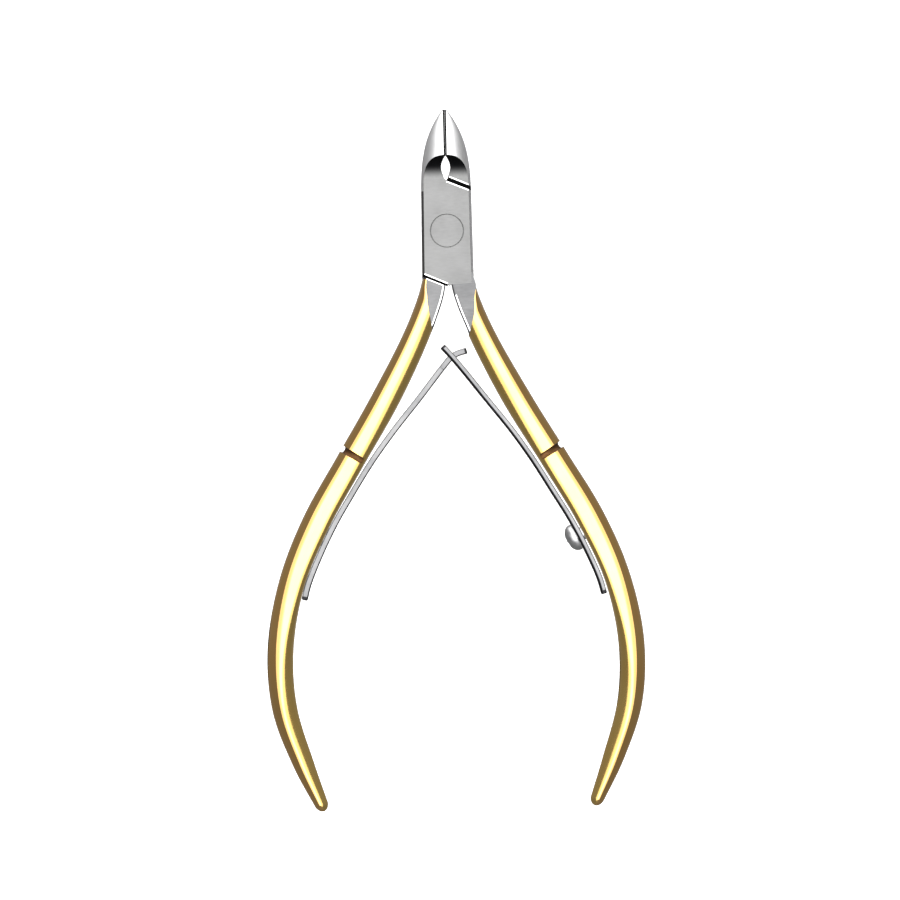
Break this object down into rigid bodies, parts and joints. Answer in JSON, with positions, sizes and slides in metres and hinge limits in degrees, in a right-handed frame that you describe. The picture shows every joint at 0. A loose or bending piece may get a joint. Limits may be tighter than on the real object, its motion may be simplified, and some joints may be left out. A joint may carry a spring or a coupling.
{
  "type": "cuticle nipper",
  "caption": "Hand nipper for cuticles: pointed polished jaws on a flush lap joint, curved plated handles and interlocking leaf springs.",
  "frame": {"origin": "on the pivot axis, in the plane of the back face of the joint, which the nipper rests on", "axes": "+Y towards the jaw tips, +X towards the front lever's handle, +Z out of the front face of the joint"},
  "size_m": [0.057, 0.1056, 0.0082],
  "materials": {
    "gold_plated_steel": "polished gold-coloured plating on the handles, bare steel on the jaws and the joint",
    "satin_steel": "fine ground satin",
    "spring_steel": "bright spring steel with dark worn edges",
    "screw_steel": "bright turned steel"
  },
  "bodies": {
    "rear_lever_body": {"rear_lever": "gold_plated_steel", "pivot_rivet": "satin_steel", "left_leaf_spring": "spring_steel", "left_spring_screw": "screw_steel"},
    "front_lever_body": {"front_lever": "gold_plated_steel", "right_leaf_spring": "spring_steel", "right_spring_screw": "screw_steel"}
  },
  "joints": [
    {"name": "pivot", "type": "hinge", "parent": "rear_lever_body", "child": "front_lever_body", "pos_m": [0, 0, 0.0033], "axis": [0, 0, 1], "range_deg": [0, 11], "stiffness_Nm_per_rad": 1.5, "deforming": ["right_leaf_spring", "left_leaf_spring"]}
  ]
}
